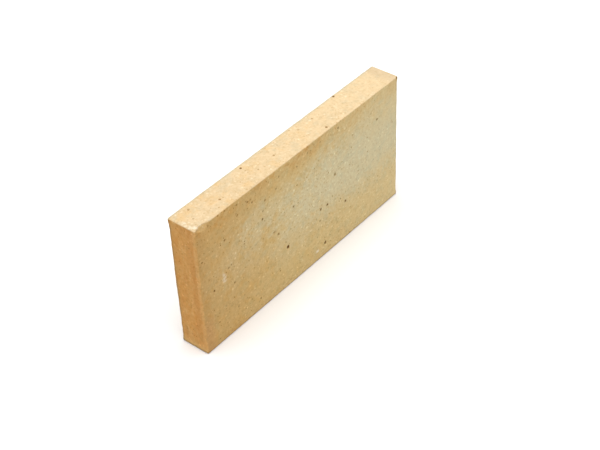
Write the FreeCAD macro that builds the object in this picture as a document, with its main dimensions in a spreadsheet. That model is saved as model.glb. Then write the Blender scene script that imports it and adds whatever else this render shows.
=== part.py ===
"""Refractory firebrick tile, dry-pressed and fired as one piece, standing on its long narrow face.

Frame, in millimetres: +X along the length, +Y through the thickness, away from the front face, and +Z up.
The origin is the middle of the narrow face that the brick stands on.
"""
import FreeCAD, Part
import Sketcher
import os

SIZES = {
    # The block
    "brick_length": 230.0,
    "brick_height": 114.0,
    "brick_thickness": 25.0,
    # Rounding of the four upright arrises at the ends, and of the arrises round the top and the base
    "end_arris_radius": 2.0,
    "bed_arris_radius": 1.2,
    # The shell-shaped chip on the top front arris, near one end: its curve, how deep it bites into the
    # square edge, how far its middle lies from the end, and how far its axis leans up from level
    "chip_radius": 18.0,
    "chip_depth": 1.8,
    "chip_from_end": 8.2,
    "chip_lean": 12.0,
}
SHEET = "Sizes"
NODE = "firebrick"
TOLERANCE = 1e-4


def make_sheet(doc):
    """The spreadsheet of driving sizes, one aliased cell for each."""
    sheet = doc.addObject("Spreadsheet::Sheet", SHEET)
    for row, (alias, value) in enumerate(SIZES.items(), start=1):
        sheet.set(f"A{row}", alias)
        sheet.set(f"B{row}", str(value))
        sheet.setAlias(f"B{row}", alias)
    doc.recompute()
    return sheet


def size(alias):
    """A sheet cell, as an expression names it."""
    return f"{SHEET}.{alias}"


def origin_plane(body, role):
    return next(f for f in body.Origin.OriginFeatures if f.Role == role)


def edge_names(feature, wanted):
    """The names of the feature's edges that pass the test."""
    edges = feature.Shape.Edges
    return [f"Edge{number}" for number, edge in enumerate(edges, start=1) if wanted(edge)]


def is_upright(edge):
    box = edge.BoundBox
    return box.ZLength > TOLERANCE and box.XLength < TOLERANCE and box.YLength < TOLERANCE


def is_level(edge):
    return edge.BoundBox.ZLength < TOLERANCE


def add_footprint(body):
    """The rectangle that the brick stands on, centred on the origin."""
    sketch = body.newObject("Sketcher::SketchObject", "Footprint")
    sketch.AttachmentSupport = [(origin_plane(body, "XY_Plane"), "")]
    sketch.MapMode = "FlatFace"
    half_x = SIZES["brick_length"] / 2
    half_y = SIZES["brick_thickness"] / 2
    corners = [(-half_x, -half_y), (half_x, -half_y), (half_x, half_y), (-half_x, half_y)]
    points = [FreeCAD.Vector(x, y, 0) for x, y in corners]
    for start, end in zip(points, points[1:] + points[:1]):
        sketch.addGeometry(Part.LineSegment(start, end), False)
    for side in range(4):
        sketch.addConstraint(Sketcher.Constraint("Coincident", side, 2, (side + 1) % 4, 1))
    for side, direction in enumerate(("Horizontal", "Vertical", "Horizontal", "Vertical")):
        sketch.addConstraint(Sketcher.Constraint(direction, side))
    sketch.addConstraint(Sketcher.Constraint("Symmetric", 0, 1, 2, 1, -1, 1))
    for side, name, alias in (
        (0, "along", "brick_length"),
        (1, "through", "brick_thickness"),
    ):
        index = sketch.addConstraint(Sketcher.Constraint("Distance", side, SIZES[alias]))
        sketch.renameConstraint(index, name)
        sketch.setExpression(f"Constraints.{name}", size(alias))
    return sketch


def add_block(body, footprint):
    block = body.newObject("PartDesign::Pad", "Block")
    block.Profile = footprint
    block.setExpression("Length", size("brick_height"))
    return block


def add_arrises(body, name, base, wanted, alias):
    """Rounds the edges of the base that pass the test."""
    arrises = body.newObject("PartDesign::Fillet", name)
    arrises.Base = (base, edge_names(base, wanted))
    arrises.setExpression("Radius", size(alias))
    return arrises


def add_chip(body):
    """The chip: a ball that bites into the square top front edge, from in front and a little above."""
    chip = body.newObject("PartDesign::SubtractiveSphere", "CornerChip")
    chip.setExpression("Radius", size("chip_radius"))
    reach = f"({size('chip_radius')} - {size('chip_depth')})"
    lean = f"({size('chip_lean')} * 1 deg)"
    chip.setExpression("Placement.Base.x", f"-{size('brick_length')} / 2 + {size('chip_from_end')}")
    chip.setExpression("Placement.Base.y", f"-{size('brick_thickness')} / 2 - {reach} * cos({lean})")
    chip.setExpression("Placement.Base.z", f"{size('brick_height')} + {reach} * sin({lean})")
    return chip


def check(doc, body):
    """Stops if a feature failed or the brick isn't one valid solid."""
    for item in doc.Objects:
        if "Invalid" in item.State or "Error" in item.State:
            raise RuntimeError(f"{item.Label} failed: {item.State}")
    if body.Shape.isNull() or not body.Shape.isValid() or len(body.Shape.Solids) != 1:
        raise RuntimeError(f"{body.Label} isn't one valid solid")


def main():
    doc = FreeCAD.newDocument("Firebrick")
    make_sheet(doc)
    body = doc.addObject("PartDesign::Body", "Firebrick")
    body.Label = NODE
    block = add_block(body, add_footprint(body))
    doc.recompute()
    ends = add_arrises(body, "EndArrises", block, is_upright, "end_arris_radius")
    doc.recompute()
    beds = add_arrises(body, "BedArrises", ends, is_level, "bed_arris_radius")
    doc.recompute()
    whole = beds.Shape.Volume
    add_chip(body)
    doc.recompute()
    check(doc, body)
    box = body.Shape.optimalBoundingBox()
    print(f"{NODE}: {box.XLength:.2f} x {box.YLength:.2f} x {box.ZLength:.2f} mm")
    print(f"volume {body.Shape.Volume:.1f} mm3, of which the chip took {whole - body.Shape.Volume:.1f}")
    os.makedirs("parts", exist_ok=True)
    body.Shape.exportStep(f"parts/{NODE}.step")


main()
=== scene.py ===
"""Looks of a refractory firebrick: one fired block with pressed faces, worn arrises, pits and a chip.

The brick is shaped in millimetres and becomes an object in metres. Its front is the -Y face, its toasted
end is -X and its top is +Z. Its beds are the top and the base. A place on the front or the top is given
by its distance along from the toasted end.
"""
import math
from collections import namedtuple

import bmesh
import bpy
import numpy as np
from mathutils import Matrix, Vector, noise


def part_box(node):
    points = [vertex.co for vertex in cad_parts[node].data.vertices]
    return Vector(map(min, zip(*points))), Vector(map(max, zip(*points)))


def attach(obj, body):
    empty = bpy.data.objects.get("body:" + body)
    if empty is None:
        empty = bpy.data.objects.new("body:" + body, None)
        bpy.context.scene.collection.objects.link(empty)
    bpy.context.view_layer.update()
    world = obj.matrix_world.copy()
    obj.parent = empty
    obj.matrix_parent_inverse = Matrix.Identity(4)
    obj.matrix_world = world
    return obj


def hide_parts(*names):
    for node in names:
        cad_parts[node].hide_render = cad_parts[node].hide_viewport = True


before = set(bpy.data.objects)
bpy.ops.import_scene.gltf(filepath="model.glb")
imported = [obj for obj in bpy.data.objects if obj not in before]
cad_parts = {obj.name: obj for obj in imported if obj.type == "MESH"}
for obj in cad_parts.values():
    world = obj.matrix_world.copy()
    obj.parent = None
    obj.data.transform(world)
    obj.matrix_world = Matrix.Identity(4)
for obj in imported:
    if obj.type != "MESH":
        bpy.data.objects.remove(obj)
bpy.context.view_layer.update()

NODE = "firebrick"
PIECE = "firebrick_fired"
SEED = 41

# The brick's lowest and highest corners and its size, in millimetres
MM = 0.001
LOW, HIGH = (np.array(corner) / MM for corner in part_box(NODE))
LENGTH, THICKNESS, HEIGHT = HIGH - LOW

# The ruled lattice that the surface is made of: rows close to an arris, then even cells
ARRIS_ROWS = (0.0, 0.3, 0.65, 1.05, 1.55, 2.2, 3.0)
CELL = 1.15
REFINE_CUTS = 2

# The flat map of the six faces, and the gap between them
BAKE_MAP = "OFBake"
MAP_GAP = 3.0

# Arrises: radius round the beds and up the ends, how far from a bed the one turns into the other, and
# how unevenly they have worn, with the size and the octaves of that noise
BED_ARRIS = 1.2
END_ARRIS = 2.0
BED_REACH = (2.0, 6.0)
ARRIS_WEAR = 0.3
ARRIS_WEAR_NOISE = (7.0, 3)

# Relief of the pressed faces: depth of each layer, and the size and the octaves of its noise
RELIEF = (
    (0.16, 38.0, 2),
    (0.05, 5.5, 2),
    (0.022, 1.9, 2),
)

# The chip on the top front arris, as in the solid
CHIP_RADIUS = 18.0
CHIP_DEPTH = 1.8
CHIP_FROM_END = 8.2
CHIP_LEAN = math.radians(12.0)

# Broken walls of the chip and the nicks: roughness, its noise, and the depth of a wholly fresh surface
WALL_ROUGHNESS = 0.3
WALL_NOISE = (1.8, 3)
FRESH_DEPTH = 0.35

# Small nicks along the arrises, each leaning more or less to either face
NICK_SPACING = 55.0
NICK_RADIUS = (1.5, 4.0)
NICK_DEPTH = (0.5, 0.8)
NICK_LEAN = (0.35, 1.0)

# Pores scattered over every face: depth is a share of the radius, and tone the square of an even draw
PORES_PER_MM2 = 0.0052
PORE_RADIUS = (0.42, 0.95)
PORE_DEPTH = 0.55
PORE_INSET = 1.6
PORE_TONE_ROOT = (0.0, 0.6)

# Dark iron spots seen on the front: along from the toasted end, down from the top, radius, tone
FRONT_SPOTS = (
    (92.7, 76.7, 1.55, 1.0),
    (136.0, 102.0, 1.45, 0.9),
    (162.0, 78.0, 1.25, 0.85),
    (140.0, 67.5, 1.15, 0.9),
    (132.0, 67.0, 1.15, 0.8),
    (67.0, 33.5, 0.95, 0.8),
    (68.0, 27.0, 0.8, 0.55),
    (101.0, 44.0, 1.0, 0.75),
    (150.0, 45.0, 1.3, 0.5),
    (83.0, 58.0, 1.2, 0.5),
    (13.0, 62.0, 1.0, 0.85),
    (203.0, 25.0, 1.05, 0.65),
    (27.5, 26.0, 1.1, 0.6),
    (71.0, 19.0, 1.0, 0.5),
    (53.0, 9.0, 0.9, 0.6),
    (57.5, 12.0, 0.9, 0.6),
    (83.0, 16.5, 0.8, 0.5),
    (155.0, 5.5, 1.0, 0.6),
    (29.0, 52.0, 0.9, 0.5),
    (33.5, 69.0, 0.9, 0.5),
    (130.5, 77.0, 0.9, 0.6),
    (146.5, 63.5, 0.7, 0.5),
    (156.0, 72.0, 0.8, 0.5),
    (4.0, 30.0, 0.9, 0.5),
    (23.2, 1.7, 0.8, 0.4),
    (30.0, 1.7, 0.75, 0.35),
    (51.5, 7.5, 0.7, 0.4),
    (55.8, 9.0, 0.7, 0.4),
    (119.0, 7.0, 0.8, 0.35),
    (131.0, 21.0, 0.8, 0.3),
    (172.0, 22.0, 0.9, 0.35),
    (32.0, 82.0, 0.8, 0.35),
    (35.5, 93.5, 0.9, 0.4),
    (82.0, 91.0, 0.8, 0.35),
    (127.0, 91.0, 0.8, 0.35),
    (228.4, 1.2, 1.2, 0.55),
)
# Spots on the top: along from the toasted end, in from the back edge, radius, tone
TOP_SPOTS = (
    (71.0, 4.0, 1.1, 0.8),
    (179.0, 2.0, 1.15, 0.8),
    (145.0, 22.0, 1.05, 0.65),
    (36.0, 15.5, 1.0, 0.6),
    (96.0, 13.0, 0.9, 0.4),
    (147.0, 7.0, 0.9, 0.4),
    (15.0, 6.0, 0.9, 0.5),
    (10.0, 15.0, 0.8, 0.4),
    (77.0, 15.0, 0.8, 0.45),
)
SPOT_DEPTH = 0.5

# Pale grog grains on the front, and last a painted highlight in the chip: along, down, radius, tone
FRONT_GRAINS_AND_HIGHLIGHT = (
    (23.4, 54.9, 2.3, 0.45),
    (24.0, 57.6, 2.7, 0.65),
    (23.8, 60.4, 2.3, 0.4),
    (126.5, 104.5, 2.2, 1.0),
    (117.0, 30.0, 1.2, 0.5),
    # A painted highlight on the chip's wall
    (9.5, 2.6, 2.0, 0.4),
)
# Pale worn patches on the top at the chipped corner: along, in from the back edge, radius, tone
TOP_GRAINS = (
    (3.7, 22.3, 2.6, 0.8),
    (1.9, 19.0, 2.0, 0.5),
    (1.8, 16.0, 1.9, 0.45),
    (2.8, 13.2, 2.2, 0.6),
)
GRAIN_DEPTH = 0.0

# Pits and grains round their middles, in radii: how far they reach, how ragged they are and by what
# noise, and between which distances the pit's wall, its stain and the grain's paleness run out
MARK_REACH = 2.0
PIT_RAGGED = 0.4
PIT_OCTAVES = 2
PIT_WALL = (0.25, 1.05)
PIT_STAIN = (0.7, 1.1)
GRAIN_RAGGED = 0.7
GRAIN_RAGGED_NOISE = (1.6, 2)
GRAIN_PALE = (0.1, 1.0)

# How the octaves of the noise that shapes the brick follow each other
FRACTAL_INCREMENT = 1.0
LACUNARITY = 2.0

Pit = namedtuple("Pit", "centre radius depth tone")
Bite = namedtuple("Bite", "centre radius")


def lattice_planes(low, high):
    """Places of the lattice planes along one axis: close together at both ends, and even between."""
    rows = np.array(ARRIS_ROWS)
    cells = round((high - low - 2 * rows[-1]) / CELL)
    middle = np.linspace(low + rows[-1], high - rows[-1], cells + 1)
    return np.concatenate([low + rows[:-1], middle, high - rows[-2::-1]])


def surface_numbers(shape):
    """A number for each lattice point on the surface of the box, and -1 for each one inside it."""
    on_surface = np.ones(shape, bool)
    on_surface[1:-1, 1:-1, 1:-1] = False
    numbers = np.full(shape, -1)
    numbers[on_surface] = np.arange(on_surface.sum())
    return numbers


def map_corners():
    """Where each face of the box starts on its flat map, keyed by its axis and its end of that axis."""
    beside = LENGTH + MAP_GAP
    above = HEIGHT + MAP_GAP
    return {
        (1, 0): (0, 0),
        (1, -1): (0, above),
        (0, 0): (beside, 0),
        (0, -1): (beside, above),
        (2, 0): (0, 2 * above),
        (2, -1): (0, 2 * above + THICKNESS + MAP_GAP),
    }


def face_quads(grid):
    """The corners of each cell of a grid, going round it."""
    return np.stack([grid[:-1, :-1], grid[1:, :-1], grid[1:, 1:], grid[:-1, 1:]], axis=-1)


def ruled_box():
    """A mesh of the square box, ruled by the lattice, with its six faces side by side on the map."""
    planes = [lattice_planes(*ends) for ends in zip(LOW, HIGH)]
    numbers = surface_numbers([len(levels) for levels in planes])
    points = np.stack([levels[i] for levels, i in zip(planes, np.nonzero(numbers >= 0))], axis=1)
    quads = []
    places = []
    for (axis, end), corner in map_corners().items():
        across, up = (planes[i] - LOW[i] for i in range(3) if i != axis)
        flat = np.stack(np.meshgrid(across, up, indexing="ij"), axis=-1) + corner
        turn = -1 if (axis == 1) == (end == -1) else 1
        quads.append(face_quads(np.take(numbers, end, axis=axis)).reshape(-1, 4)[:, ::turn])
        cell_places = np.stack([face_quads(flat[..., i]) for i in range(2)], axis=-1)
        places.append(cell_places.reshape(-1, 4, 2)[:, ::turn])
    mesh = bpy.data.meshes.new(PIECE)
    mesh.from_pydata(points, [], np.concatenate(quads))
    places = np.concatenate(places).reshape(-1, 2)
    layer = mesh.uv_layers.new(name=BAKE_MAP)
    layer.uv.foreach_set("vector", (places / places.max()).ravel())
    return mesh


def refine(mesh, balls):
    """Splits the cells at the pits, grains and bites, so that these get round rims."""
    work = bmesh.new()
    work.from_mesh(mesh)
    middles = np.array([face.calc_center_median() for face in work.faces])
    chosen = np.zeros(len(middles), bool)
    for ball in balls:
        chosen |= np.linalg.norm(middles - ball.centre, axis=1) < ball.radius + CELL / 2
    edges = dict.fromkeys(e for face, split in zip(work.faces, chosen) if split for e in face.edges)
    bmesh.ops.subdivide_edges(work, edges=list(edges), cuts=REFINE_CUTS, use_grid_fill=True)
    many_sided = [face for face in work.faces if len(face.verts) > 4]
    bmesh.ops.triangulate(work, faces=many_sided, ngon_method="BEAUTY")
    work.to_mesh(mesh)
    work.free()


def field(points, grain, octaves, start=0.0):
    """Smooth noise at the points, about -1 to 1, with swells of about the given size."""
    places = points / grain + start
    return np.array([noise.fractal(Vector(p), FRACTAL_INCREMENT, LACUNARITY, octaves) for p in places])


def ease(value, start, end):
    """0 before start, 1 after end, smooth between."""
    share = np.clip((value - start) / (end - start), 0, 1)
    return share * share * (3 - 2 * share)


def arris_radius(points):
    """How round the arrises near each point are: softer up the ends, and unevenly worn."""
    from_bed = np.minimum(points[:, 2] - LOW[2], HIGH[2] - points[:, 2])
    radius = BED_ARRIS + (END_ARRIS - BED_ARRIS) * ease(from_bed, *BED_REACH)
    return radius * (1 + ARRIS_WEAR * field(points, *ARRIS_WEAR_NOISE))


def rounded(points):
    """The points drawn in to round arrises, the way that each faces, and how near an arris it lies."""
    radius = arris_radius(points)[:, None]
    core = np.clip(points, LOW + radius, HIGH - radius)
    facing = points - core
    reach = np.linalg.norm(facing, axis=1)[:, None]
    facing /= reach
    rim = np.clip((reach / radius - 1) / (math.sqrt(2) - 1), 0, 1)[:, 0]
    return core + facing * radius, facing, rim


def front_place(along, down):
    """A point of the front: along from the toasted end and down from the top."""
    return np.array([LOW[0] + along, LOW[1], HIGH[2] - down])


def top_place(along, inward):
    """A point of the top: along from the toasted end and in from the back edge."""
    return np.array([LOW[0] + along, HIGH[1] - inward, HIGH[2]])


def marks(on_front, on_top, depth):
    """Round marks on the front and the top, as pits whose depth is a share of their radius."""
    made = [Pit(front_place(a, b), r, depth * r, t) for a, b, r, t in on_front]
    made += [Pit(top_place(a, b), r, depth * r, t) for a, b, r, t in on_top]
    return made


def pores(rng):
    """Fine pores, as many to the area on each face."""
    made = []
    size = HIGH - LOW
    for axis in range(3):
        others = [i for i in range(3) if i != axis]
        count = round(size[others[0]] * size[others[1]] * PORES_PER_MM2)
        for level in (LOW[axis], HIGH[axis]):
            for _ in range(count):
                place = rng.uniform(LOW + PORE_INSET, HIGH - PORE_INSET)
                place[axis] = level
                radius = rng.uniform(*PORE_RADIUS)
                tone = rng.uniform(*PORE_TONE_ROOT) ** 2
                made.append(Pit(place, radius, PORE_DEPTH * radius, tone))
    return made


def chip():
    """The ball whose bite is the chip on the top front arris."""
    reach = CHIP_RADIUS - CHIP_DEPTH
    out = np.array([0.0, -math.cos(CHIP_LEAN), math.sin(CHIP_LEAN)])
    return Bite(front_place(CHIP_FROM_END, 0.0) + reach * out, CHIP_RADIUS)


def nicks(rng):
    """Small bites at uneven places along all twelve arrises."""
    made = []
    for axis in range(3):
        others = [i for i in range(3) if i != axis]
        for first in (LOW, HIGH):
            for second in (LOW, HIGH):
                for _ in range(round((HIGH - LOW)[axis] / NICK_SPACING)):
                    place = rng.uniform(LOW, HIGH)
                    place[others] = first[others[0]], second[others[1]]
                    out = np.sign(place - (LOW + HIGH) / 2) * rng.uniform(*NICK_LEAN, 3)
                    out[axis] = 0.0
                    out /= np.linalg.norm(out)
                    radius = rng.uniform(*NICK_RADIUS)
                    made.append(Bite(place + (radius - rng.uniform(*NICK_DEPTH)) * out, radius))
    return made


def relief(points):
    """How deep the pressed surface lies below each point."""
    sunk = sum(depth * (0.5 + 0.5 * field(points, grain, octaves)) for depth, grain, octaves in RELIEF)
    return np.maximum(sunk, 0)


def around(points, mark):
    """Which points lie near a mark, and how many of its radii each lies from its middle."""
    away = points - mark.centre
    near = np.nonzero(np.abs(away).max(axis=1) < MARK_REACH * mark.radius)[0]
    return near, np.linalg.norm(away[near], axis=1) / mark.radius


def sink_pits(points, facing, pits):
    """Sinks each pit into the surface. Returns how dark each point is, from 0 to 1."""
    dark = np.zeros(len(points))
    for pit in pits:
        near, distance = around(points, pit)
        distance *= 1 + PIT_RAGGED * field(points[near], pit.radius, PIT_OCTAVES, start=pit.radius)
        points[near] -= facing[near] * (pit.depth * (1 - ease(distance, *PIT_WALL)))[:, None]
        dark[near] = np.maximum(dark[near], pit.tone * (1 - ease(distance, *PIT_STAIN)))
    return dark


def take_bites(points, bites):
    """Pushes the points in a bite's ball out to its rough wall. Returns how fresh each one is, 0 to 1."""
    fresh = np.zeros(len(points))
    for bite in bites:
        away = points - bite.centre
        near = np.nonzero(np.linalg.norm(away, axis=1) < bite.radius + WALL_ROUGHNESS)[0]
        distance = np.linalg.norm(away[near], axis=1)
        wall = bite.radius + WALL_ROUGHNESS * field(points[near], *WALL_NOISE)
        depth = np.maximum(wall - distance, 0)
        points[near] += away[near] * (depth / distance)[:, None]
        fresh[near] = np.maximum(fresh[near], ease(depth, 0.0, FRESH_DEPTH))
    return fresh


def paleness(points, grains):
    """How pale the grains and the painted highlight in the chip make each point, from 0 to 1."""
    pale = np.zeros(len(points))
    for grain in grains:
        near, distance = around(points, grain)
        distance += GRAIN_RAGGED * field(points[near], *GRAIN_RAGGED_NOISE, start=grain.radius)
        pale[near] = np.maximum(pale[near], grain.tone * (1 - ease(distance, *GRAIN_PALE)))
    return pale


def paint(mesh, name, values):
    """Keeps a value for each point, for the material to read."""
    layer = mesh.attributes.new(name, "FLOAT", "POINT")
    layer.data.foreach_set("value", values.astype(np.float32))


def read_points(mesh):
    """The places of the mesh's points, one to a row."""
    points = np.empty(len(mesh.vertices) * 3)
    mesh.vertices.foreach_get("co", points)
    return points.reshape(-1, 3)


def carve(mesh, pits, grains, bites):
    """Rounds, sinks and chips the mesh, turns it to metres, and keeps what its material reads."""
    points, facing, rim = rounded(read_points(mesh))
    points -= facing * relief(points)[:, None]
    dark = sink_pits(points, facing, pits)
    fresh = take_bites(points, bites)
    pale = paleness(points, grains)
    mesh.vertices.foreach_set("co", (points * MM).ravel())
    for name, values in (("dark", dark), ("fresh", fresh), ("pale", pale), ("rim", rim)):
        paint(mesh, name, values)
    mesh.shade_smooth()
    mesh.update()


def make_brick():
    """The brick as one closed mesh, with its relief, spots, pores, nicks and chip."""
    rng = np.random.default_rng(SEED)
    pits = marks(FRONT_SPOTS, TOP_SPOTS, SPOT_DEPTH) + pores(rng)
    grains = marks(FRONT_GRAINS_AND_HIGHLIGHT, TOP_GRAINS, GRAIN_DEPTH)
    bites = [chip()] + nicks(rng)
    mesh = ruled_box()
    refine(mesh, pits + grains + bites)
    carve(mesh, pits, grains, bites)
    mesh.materials.append(fired_clay())
    brick = bpy.data.objects.new(PIECE, mesh)
    bpy.context.scene.collection.objects.link(brick)
    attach(brick, "root")
    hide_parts(NODE)


# Share of a speck's radius where it has its full strength
SPECK_CORE = 0.45


class Graph:
    """Adds nodes to a tree and joins them. An input is a number, a colour or another node's output."""

    def __init__(self, tree):
        self.tree = tree
        tree.nodes.clear()

    def node(self, kind, inputs=None, **settings):
        made = self.tree.nodes.new("ShaderNode" + kind)
        for name, value in settings.items():
            setattr(made, name, value)
        for key, value in (inputs or {}).items():
            if isinstance(value, bpy.types.NodeSocket):
                self.tree.links.new(value, made.inputs[key])
            else:
                made.inputs[key].default_value = value
        return made

    def math(self, operation, first, second=0.0):
        return self.node("Math", {0: first, 1: second}, operation=operation).outputs[0]

    def plus(self, first, second):
        return self.math("ADD", first, second)

    def minus(self, first, second):
        return self.math("SUBTRACT", first, second)

    def times(self, first, second):
        return self.math("MULTIPLY", first, second)

    def vector(self, operation, first, second):
        return self.node("VectorMath", {0: first, 1: second}, operation=operation).outputs[0]

    def fade(self, value, start, end):
        """0 as far as start, 1 from end on and smooth between. Start may be the higher of the two."""
        ends = {"Value": value, "From Min": start, "From Max": end}
        return self.node("MapRange", ends, interpolation_type="SMOOTHSTEP").outputs[0]

    def mix(self, share, first, second, blend="MIX"):
        """The first colour turned into the second by the share. A Mix node's colours are 6 and 7."""
        made = self.node("Mix", {0: share, 6: first, 7: second}, data_type="RGBA", blend_type=blend)
        return made.outputs[2]

    def noise(self, point, grain, detail, rough):
        inputs = {"Vector": point, "Scale": 1 / grain, "Detail": detail, "Roughness": rough}
        return self.node("TexNoise", inputs).outputs[0]

    def specks(self, point, spacing, radius, share):
        """Round specks of about the given radius in a share of the cells, each with its own strength."""
        cells = self.node("TexVoronoi", {"Vector": point, "Scale": 1 / spacing}).outputs
        draw = self.node("SeparateColor", {0: cells["Color"]}).outputs[0]
        strength = self.fade(draw, 1 - share, 1.0)
        inside = self.fade(cells["Distance"], radius / spacing, SPECK_CORE * radius / spacing)
        return self.times(inside, strength)

    def ramp(self, value, stops):
        """Colours that run into each other along the value."""
        made = self.node("ValToRGB", {0: value})
        elements = made.color_ramp.elements
        for place, _ in stops[1:-1]:
            elements.new(place)
        for element, (place, colour) in zip(elements, stops):
            element.position = place
            element.color = colour
        return made.outputs[0]

    def attribute(self, name):
        return self.node("Attribute", attribute_name=name).outputs["Fac"]


def srgb(red, green, blue):
    """A colour as the picture shows it, 0 to 255, in the linear values that shaders take."""
    channels = [value / 255 for value in (red, green, blue)]
    return [*(c / 12.92 if c <= 0.04045 else ((c + 0.055) / 1.055) ** 2.4 for c in channels), 1.0]


# Colours of the fired clay, as they show in full light
NEAR_BUFF = srgb(210, 169, 105)
MIDDLE_BUFF = srgb(223, 193, 133)
FAR_BUFF = srgb(231, 206, 152)
GREY = srgb(226, 211, 169)
TOASTED = srgb(213, 164, 94)
BED_NEAR = srgb(226, 199, 157)
BED_FAR = srgb(231, 204, 160)
ORANGE = srgb(217, 162, 92)
PALE_ORANGE = srgb(225, 178, 113)
SCORCHED = srgb(206, 144, 77)
FRESH = srgb(230, 196, 140)
GROG_AND_HIGHLIGHT = srgb(248, 234, 208)
OCHRE = srgb(134, 84, 0)
UMBER = srgb(116, 66, 0)
IRON = srgb(92, 50, 4)

# Tints of the specks and spots, which multiply the colour under them
STAIN = srgb(255, 240, 200)
PALE_TINT = (1.18, 1.25, 1.4, 1.0)

# A coat covers the colour under it, and a tint multiplies it. Both set in where a value passes start and
# are whole from full on. The value is a noise that runs from 0 to 1, or a distance in millimetres
Coat = namedtuple("Coat", "start full strength colour")
Tint = namedtuple("Tint", "start full colour")
Cloud = namedtuple("Cloud", "along up wide tall strength")

# A place on the brick in millimetres: its point, along from the toasted end, up from the foot, and in
# from the nearer bed, the nearer end and the front
Place = namedtuple("Place", "point along up from_bed from_end from_front")

# Noise in the clay, from 0 to 1: size of its swells, detail and roughness, then how it is used
CLOUD_NOISE = (22.0, 3.0, 0.6)
BLOTCH_NOISE = (4.5, 3.0, 0.65)
STREAK_NOISE = (5.0, 3.0, 0.75)
WARM_NOISE = (9.0, 3.0, 0.6)
COOL_NOISE = (7.0, 3.0, 0.6)
CROWD_NOISE = (13.0, 2.0, 0.6)
GRAIN_NOISE = (2.2, 3.0, 0.8)
NOISE_MIDDLE = 0.5
CLOUD_SHARE = 0.6
BLOTCH_SHARE = 0.4
STREAK_STRETCH = (1.0, 1.0, 0.35)
ELSEWHERE = (70.0, 30.0, 50.0)

# The large faces: buff along the brick, grey clouds and a toasted top edge, which noise makes uneven
BUFF_STOPS = ((0.0, NEAR_BUFF), (0.42, MIDDLE_BUFF), (1.0, FAR_BUFF))
BUFF_SWAY = 60.0
GREY_CLOUDS = (
    Cloud(176.0, 67.0, 124.0, 33.0, 0.95),
    Cloud(30.0, 66.0, 30.0, 32.0, 0.14),
    Cloud(78.0, 81.0, 40.0, 16.0, 0.3),
    Cloud(94.0, 40.0, 26.0, 20.0, 0.2),
)
CLOUD_SWAY = 1.6
CLOUD_RIM = (1.3, 0.3)
TOAST = Coat(HEIGHT - 20.0, HEIGHT, 1.0, TOASTED)
TOAST_PATCHES = (0.4, 0.65)
TOAST_ALONG = (LENGTH + 100.0, 20.0)

# Wear at the near edges of the large faces, and painted shade along the far upright arris
NEAR_EDGE = Tint(14.0, 2.0, (0.945, 0.93, 0.93, 1.0))
NEAR_FOOT = Tint(14.0, 5.0, (1.0, 0.925, 0.95, 1.0))
NEAR_FOOT_UP = (40.0, 22.0)
FAR_EDGE = Tint(LENGTH - 3.4, LENGTH - 1.0, (0.84, 0.845, 0.82, 1.0))
FAR_EDGE_SWAY = 9.0

# The ends: upright streaks, scorched patches, a scorched band behind a pale rim, a pale foot, and painted
# shade along the foot and the back upright arris
PALE_STREAK = Coat(0.5, 0.72, 1.0, PALE_ORANGE)
SCORCHED_STREAK = Coat(0.5, 0.28, 0.7, SCORCHED)
SCORCHED_PATCH = Coat(0.5, 0.25, 1.0, SCORCHED)
SCORCHED_BAND = Coat(10.0, 6.0, 0.4, SCORCHED)
PALE_RIM = Coat(4.0, 1.6, 0.75, PALE_ORANGE)
PALE_RIM_UP = (-60.0, 60.0)
RIM_SWAY = 5.0
PALE_FOOT = Coat(9.0, 3.0, 0.85, PALE_ORANGE)
END_FOOT = Tint(3.2, 1.8, (0.79, 0.86, 0.95, 1.0))
END_BACK_EDGE = Tint(THICKNESS - 3.8, THICKNESS - 1.6, (0.7, 0.73, 0.78, 1.0))
FAR_END = Coat(60.0, LENGTH, 0.7, MIDDLE_BUFF)

# The beds: a little paler far off, dull and bright in blotches, and darker at the far and back edges
BED_ALONG = Coat(0.0, LENGTH, 1.0, BED_FAR)
BED_DULL = Tint(0.52, 0.3, (0.93, 0.92, 0.88, 1.0))
BED_BRIGHT = Tint(0.52, 0.72, (1.03, 1.04, 1.06, 1.0))
BED_FAR_EDGE = Tint(LENGTH - 16.0, LENGTH - 5.0, (0.89, 0.895, 0.93, 1.0))
BED_BACK_EDGE = Tint(THICKNESS - 2.8, THICKNESS - 1.2, (0.85, 0.91, 0.98, 1.0))
BACK_EDGE_SWAY = 3.5

# Where the colours of the beds and of the ends meet the large faces
BED_BORDER = (1.3, 0.4)
END_BORDER = (1.3, 0.3)
END_FROM_BED = (0.4, 1.6)
END_SWAY = 2.5

# Patches: warm ones mostly towards the toasted end, and cool ones all over
WARM = Tint(0.46, 0.7, srgb(254, 245, 228))
WARM_ALONG = (LENGTH + 10.0, 20.0)
COOL = Tint(0.46, 0.7, srgb(247, 251, 255))

# Where specks crowd, and where they and the grain are fainter
CROWDED = (0.3, 0.62)
CROWDED_EDGE_UP = (HEIGHT - 26.0, HEIGHT - 4.0)
CROWDED_EDGE_ALONG = (LENGTH - 10.0, 60.0)
CROWD_ALONG = (LENGTH + 90.0, 100.0)
CROWD_FROM_BED = (-1.2, 2.0)
CONTRAST_ALONG = (LENGTH + 90.0, 150.0)
CONTRAST_FROM_BED = (-8.0, 2.0)

# The fine grain's darker and brighter sides
SHADE = Tint(0.5, 0.25, srgb(237, 228, 215))
GLINT = Tint(0.5, 0.8, (1.16, 1.25, 1.42, 1.0))

# Specks in the clay: spacing of their cells, radius, share of the cells that have one, strength and colour
DARK_SPECKS = (
    (2.3, 0.6, 0.75, 0.65, OCHRE),
    (4.0, 0.85, 0.65, 0.75, UMBER),
    (9.0, 1.0, 0.6, 0.85, IRON),
)
PALE_SPECKS = (
    (3.2, 0.95, 0.85),
    (6.0, 1.3, 0.75),
)

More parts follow.
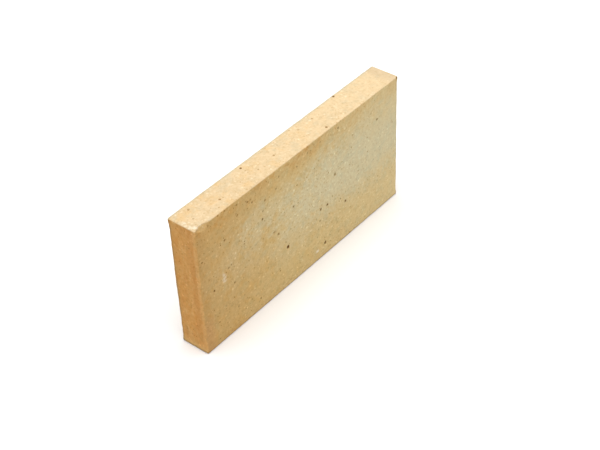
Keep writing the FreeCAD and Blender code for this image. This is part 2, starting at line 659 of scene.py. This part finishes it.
# Broken clay, bed arrises paler from wear and a painted highlight, painted light low on the faces, painted
# shade along the foot, and the iron spots
FRESH_STRENGTH = 0.3
BED_RIM = Tint(3.0, 1.0, (1.07, 1.07, 1.07, 1.0))
FOOT = Tint(36.0, 4.0, (1.04, 1.045, 1.04, 1.0))
PAINTED_FOOT_SHADE = Tint(1.8, 0.3, srgb(196, 168, 134))
SPOT_STRENGTH = 0.97

# The surface under the colour
BUMP_DEPTH = 0.1
BUMP_STRENGTH = 0.3
ROUGHNESS = (0.82, 0.97)
SPECULAR = 0.25


def coated(graph, value, coat, colour, within=1.0):
    """The colour under a coat, which may be held within a share of the surface."""
    share = graph.times(graph.fade(value, coat.start, coat.full), within)
    return graph.mix(graph.times(share, coat.strength), colour, coat.colour)


def tinted(graph, value, tint, colour, within=1.0):
    """The colour under a tint, which may be held within a share of the surface."""
    share = graph.times(graph.fade(value, tint.start, tint.full), within)
    return graph.mix(share, colour, tint.colour, "MULTIPLY")


def stained(graph, share, strength, colour, iron):
    """The colour, browned and then covered by the iron where the share is 1."""
    browned = graph.mix(share, colour, STAIN, "MULTIPLY")
    return graph.mix(graph.times(share, strength), browned, iron)


def swayed(graph, value, sway, amount):
    """The value, moved by up to half the amount either way by a noise that runs from 0 to 1."""
    return graph.plus(value, graph.times(graph.minus(sway, NOISE_MIDDLE), amount))


def from_middle(graph, value, middle, reach):
    """The square of how far the value lies from the middle, as a share of the reach."""
    return graph.math("POWER", graph.math("DIVIDE", graph.minus(value, middle), reach), 2.0)


def from_nearer(graph, value, axis):
    """How far in the value lies from the nearer of the brick's two sides on that axis."""
    middle = (LOW[axis] + HIGH[axis]) / 2
    return graph.minus(HIGH[axis] - middle, graph.math("ABSOLUTE", graph.minus(value, middle)))


def locate(graph):
    """The place on the brick that is being coloured."""
    local = graph.node("TexCoord").outputs["Object"]
    point = graph.node("VectorMath", {0: local, "Scale": 1 / MM}, operation="SCALE").outputs[0]
    x, y, z = graph.node("SeparateXYZ", {0: point}).outputs
    return Place(
        point=point,
        along=graph.minus(x, LOW[0]),
        up=graph.minus(z, LOW[2]),
        from_bed=from_nearer(graph, z, 2),
        from_end=from_nearer(graph, x, 0),
        from_front=graph.minus(y, LOW[1]),
    )


def face_colour(graph, at, sway):
    """A large face: buff that greys towards the far end, grey clouds, a toasted top edge, worn near edges
    and painted shade along the far upright arris.
    """
    colour = graph.ramp(graph.math("DIVIDE", swayed(graph, at.along, sway, BUFF_SWAY), LENGTH), BUFF_STOPS)
    for cloud in GREY_CLOUDS:
        wide = from_middle(graph, at.along, cloud.along, cloud.wide)
        tall = from_middle(graph, at.up, cloud.up, cloud.tall)
        away = swayed(graph, graph.math("SQRT", graph.plus(wide, tall)), sway, CLOUD_SWAY)
        colour = coated(graph, away, Coat(*CLOUD_RIM, cloud.strength, GREY), colour)
    patches = graph.times(graph.fade(sway, *TOAST_PATCHES), graph.fade(at.along, *TOAST_ALONG))
    colour = coated(graph, at.up, TOAST, colour, within=patches)
    colour = tinted(graph, at.along, NEAR_EDGE, colour)
    colour = tinted(graph, at.along, NEAR_FOOT, colour, within=graph.fade(at.up, *NEAR_FOOT_UP))
    # Painted shade along the far upright arris
    return tinted(graph, swayed(graph, at.along, sway, FAR_EDGE_SWAY), FAR_EDGE, colour)


def end_colour(graph, at, sway):
    """The ends: orange, with streaks, scorched patches, a pale rim, painted shade along the foot and the
    back upright arris, and paler at the far one.
    """
    streak = graph.noise(graph.vector("MULTIPLY", at.point, STREAK_STRETCH), *STREAK_NOISE)
    colour = coated(graph, streak, PALE_STREAK, ORANGE)
    colour = coated(graph, streak, SCORCHED_STREAK, colour)
    colour = coated(graph, sway, SCORCHED_PATCH, colour)
    inward = swayed(graph, at.from_front, streak, RIM_SWAY)
    colour = coated(graph, inward, SCORCHED_BAND, colour)
    colour = coated(graph, inward, PALE_RIM, colour, within=graph.fade(at.up, *PALE_RIM_UP))
    colour = coated(graph, at.up, PALE_FOOT, colour)
    # Painted shade along the foot
    colour = tinted(graph, at.up, END_FOOT, colour)
    # Painted shade along the back upright arris
    colour = tinted(graph, swayed(graph, at.from_front, streak, BACK_EDGE_SWAY), END_BACK_EDGE, colour)
    return coated(graph, at.along, FAR_END, colour)


def bed_colour(graph, at, blotch):
    """The top and the base."""
    colour = coated(graph, at.along, BED_ALONG, BED_NEAR)
    colour = tinted(graph, blotch, BED_DULL, colour)
    colour = tinted(graph, blotch, BED_BRIGHT, colour)
    colour = tinted(graph, at.along, BED_FAR_EDGE, colour)
    return tinted(graph, swayed(graph, at.from_front, blotch, BACK_EDGE_SWAY), BED_BACK_EDGE, colour)


def elsewhere(graph, point):
    """The point moved far off, for noise that has nothing to do with the noise at the point itself."""
    return graph.vector("ADD", point, ELSEWHERE)


def clay_colour(graph, at):
    """The clay's broad colour on the large faces, the beds and the ends, with warm and cool patches."""
    cloud = graph.noise(at.point, *CLOUD_NOISE)
    blotch = graph.noise(at.point, *BLOTCH_NOISE)
    sway = graph.plus(graph.times(cloud, CLOUD_SHARE), graph.times(blotch, BLOTCH_SHARE))
    colour = face_colour(graph, at, sway)
    colour = graph.mix(graph.fade(at.from_bed, *BED_BORDER), colour, bed_colour(graph, at, blotch))
    border = graph.fade(swayed(graph, at.from_end, blotch, END_SWAY), *END_BORDER)
    on_end = graph.times(border, graph.fade(at.from_bed, *END_FROM_BED))
    colour = graph.mix(on_end, colour, end_colour(graph, at, sway))
    warm = graph.noise(at.point, *WARM_NOISE)
    colour = tinted(graph, warm, WARM, colour, within=graph.fade(at.along, *WARM_ALONG))
    return tinted(graph, graph.noise(elsewhere(graph, at.point), *COOL_NOISE), COOL, colour)


def speck_crowd(graph, at):
    """How strong specks are: in clusters, more on the toasted top edge, less far off and on the beds."""
    crowd = graph.fade(graph.noise(elsewhere(graph, at.point), *CROWD_NOISE), *CROWDED)
    edge = graph.times(graph.fade(at.up, *CROWDED_EDGE_UP), graph.fade(at.along, *CROWDED_EDGE_ALONG))
    crowd = graph.times(graph.math("MAXIMUM", crowd, edge), graph.fade(at.along, *CROWD_ALONG))
    return graph.times(crowd, graph.fade(at.from_bed, *CROWD_FROM_BED))


def clay_specks(graph, at, grain, colour):
    """A fine grain, brown specks, iron and pale grog."""
    crowd = speck_crowd(graph, at)
    contrast = graph.times(
        graph.fade(at.from_bed, *CONTRAST_FROM_BED),
        graph.fade(at.along, *CONTRAST_ALONG),
    )
    colour = tinted(graph, grain, SHADE, colour, within=contrast)
    colour = tinted(graph, grain, GLINT, colour, within=contrast)
    for spacing, radius, share, strength, speck in DARK_SPECKS:
        drawn = graph.times(graph.specks(at.point, spacing, radius, share), crowd)
        colour = stained(graph, drawn, strength, colour, speck)
    for spacing, radius, share in PALE_SPECKS:
        drawn = graph.times(graph.specks(at.point, spacing, radius, share), contrast)
        colour = graph.mix(drawn, colour, PALE_TINT, "MULTIPLY")
    return colour


def clay_marks(graph, at, colour):
    """What the points carry: the chip, pale grains with a painted highlight in the chip, bed arrises paler
    from wear and a painted highlight, and iron spots. Painted light low on the faces and painted shade
    along the foot.
    """
    colour = graph.mix(graph.times(graph.attribute("fresh"), FRESH_STRENGTH), colour, FRESH)
    # Paler bed arrises: partly wear, partly a painted highlight
    colour = tinted(graph, at.from_bed, BED_RIM, colour, within=graph.attribute("rim"))
    # Painted light low on the faces
    colour = tinted(graph, at.up, FOOT, colour)
    # Pale grains, and a painted highlight in the chip
    colour = graph.mix(graph.attribute("pale"), colour, GROG_AND_HIGHLIGHT)
    # Painted shade along the foot
    colour = tinted(graph, at.up, PAINTED_FOOT_SHADE, colour)
    return stained(graph, graph.attribute("dark"), SPOT_STRENGTH, colour, IRON)


def fired_clay():
    """The material: layers of colour, and a fine grain in the roughness and the bump."""
    material = bpy.data.materials.new("fired_clay")
    material.use_nodes = True
    graph = Graph(material.node_tree)
    at = locate(graph)
    grain = graph.noise(at.point, *GRAIN_NOISE)
    colour = clay_specks(graph, at, grain, clay_colour(graph, at))
    rough, roughest = ROUGHNESS
    roughness = graph.node("MapRange", {"Value": grain, "To Min": rough, "To Max": roughest})
    bump = graph.node("Bump", {"Height": grain, "Distance": BUMP_DEPTH * MM, "Strength": BUMP_STRENGTH})
    shader = graph.node("BsdfPrincipled", {
        "Base Color": clay_marks(graph, at, colour),
        "Roughness": roughness.outputs[0],
        "Normal": bump.outputs[0],
        "Specular IOR Level": SPECULAR,
    })
    graph.node("OutputMaterial", {0: shader.outputs[0]})
    return material


# The studio
FLOOR_SIZE = 40.0
FLOOR_COLOUR = (0.76, 0.76, 0.76, 1.0)
FLOOR_SEEN = (0.98, 0.98, 0.98, 1.0)
WHITE = (1.0, 1.0, 1.0, 1.0)
AMBIENT = 0.26
SUN_STRENGTH = 0.99 * math.pi
SUN_ANGLE = math.radians(70.0)
SUN_TILT = math.radians(5.0)
SUN_AZIMUTH = math.radians(-40.0)


def seen_share(graph):
    """1 for what the camera sees, straight on or in gloss and glass, and 0 for what only sends light on."""
    path = graph.node("LightPath").outputs
    seen = graph.math("MAXIMUM", path["Is Camera Ray"], path["Is Glossy Ray"])
    return graph.math("MAXIMUM", seen, path["Is Transmission Ray"])


def light_world():
    """A plain grey surround that shows white to the camera and in reflections."""
    world = bpy.data.worlds.new("studio")
    world.use_nodes = True
    bpy.context.scene.world = world
    graph = Graph(world.node_tree)
    light = graph.node("Background", {"Color": WHITE, "Strength": AMBIENT}).outputs[0]
    white = graph.node("Background", {"Color": WHITE, "Strength": 1.0}).outputs[0]
    both = graph.node("MixShader", {0: seen_share(graph), 1: light, 2: white}).outputs[0]
    graph.node("OutputWorld", {0: both})


def light_sun():
    """One broad soft lamp nearly overhead."""
    data = bpy.data.lights.new("softbox", "SUN")
    data.energy = SUN_STRENGTH
    data.angle = SUN_ANGLE
    lamp = bpy.data.objects.new("softbox", data)
    bpy.context.scene.collection.objects.link(lamp)
    lamp.rotation_euler = (SUN_TILT, 0.0, SUN_AZIMUTH)


def lay_floor():
    """A wide pale floor that shows white and keeps the brick's shadow."""
    half = FLOOR_SIZE / 2
    corners = [(-half, -half, 0), (half, -half, 0), (half, half, 0), (-half, half, 0)]
    mesh = bpy.data.meshes.new("floor")
    mesh.from_pydata(corners, [], [(0, 1, 2, 3)])
    floor = bpy.data.objects.new("floor", mesh)
    bpy.context.scene.collection.objects.link(floor)
    material = bpy.data.materials.new("floor")
    material.use_nodes = True
    graph = Graph(material.node_tree)
    shown = graph.mix(seen_share(graph), FLOOR_COLOUR, FLOOR_SEEN)
    shader = graph.node("BsdfDiffuse", {"Color": shown})
    graph.node("OutputMaterial", {0: shader.outputs[0]})
    mesh.materials.append(material)


# The camera, found from the corners of the brick in the picture
CAMERA_AZIMUTH = math.radians(-49.42)
CAMERA_ELEVATION = math.radians(39.58)
CAMERA_ROLL = math.radians(-2.71)
CAMERA_DISTANCE = 0.987
CAMERA_AIM = Vector((0.01654, 0.00854, 0.02191))
LENS = 76.92
SENSOR = 36.0


def place_camera():
    """The camera that sees the brick as the picture does."""
    data = bpy.data.cameras.new("camera")
    data.sensor_width = SENSOR
    data.lens = LENS
    camera = bpy.data.objects.new("camera", data)
    bpy.context.scene.collection.objects.link(camera)
    level = math.cos(CAMERA_ELEVATION)
    back = Vector((
        math.sin(CAMERA_AZIMUTH) * level,
        -math.cos(CAMERA_AZIMUTH) * level,
        math.sin(CAMERA_ELEVATION),
    ))
    turn = back.to_track_quat("Z", "Y").to_matrix().to_4x4() @ Matrix.Rotation(CAMERA_ROLL, 4, "Z")
    camera.matrix_world = Matrix.Translation(CAMERA_AIM + CAMERA_DISTANCE * back) @ turn
    bpy.context.scene.camera = camera


make_brick()
light_world()
light_sun()
lay_floor()
place_camera()
bpy.context.scene.view_settings.view_transform = "Standard"
